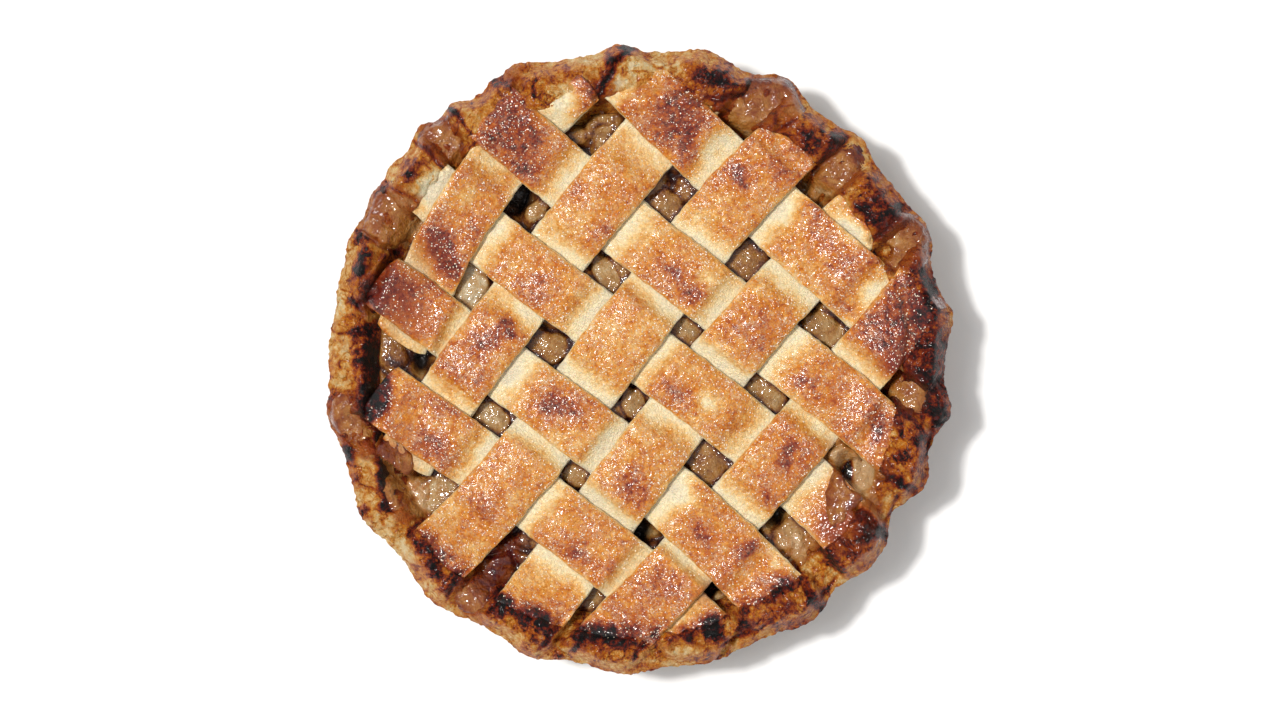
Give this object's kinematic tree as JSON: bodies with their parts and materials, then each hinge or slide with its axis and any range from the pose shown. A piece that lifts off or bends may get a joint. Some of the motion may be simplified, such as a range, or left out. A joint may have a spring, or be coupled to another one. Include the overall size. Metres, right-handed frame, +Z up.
{
  "type": "lattice-topped fruit pie in a dish",
  "caption": "Round baked apple pie with a woven lattice top and fluted crust rim, in its own round glass pie dish.",
  "frame": {"origin": "centre of the dish's flat underside", "axes": "+Z up, out of the pie's top; +X to the right and +Y to the top of the straight-down view"},
  "size_m": [0.2499, 0.2514, 0.0541],
  "materials": {
    "dish_glass": "clear, smooth",
    "crust_pastry": "baked, matte, scorched on its high places",
    "fruit_filling": "moist, glossy",
    "lattice_pastry": "baked, matte, sugared"
  },
  "bodies": {
    "root": {"dish": "dish_glass", "crust": "crust_pastry", "filling": "fruit_filling", "strip_a1": "lattice_pastry", "strip_a2": "lattice_pastry", "strip_a3": "lattice_pastry", "strip_a4": "lattice_pastry", "strip_a5": "lattice_pastry", "strip_b1": "lattice_pastry", "strip_b2": "lattice_pastry", "strip_b3": "lattice_pastry", "strip_b4": "lattice_pastry", "strip_b5": "lattice_pastry"}
  },
  "joints": []
}
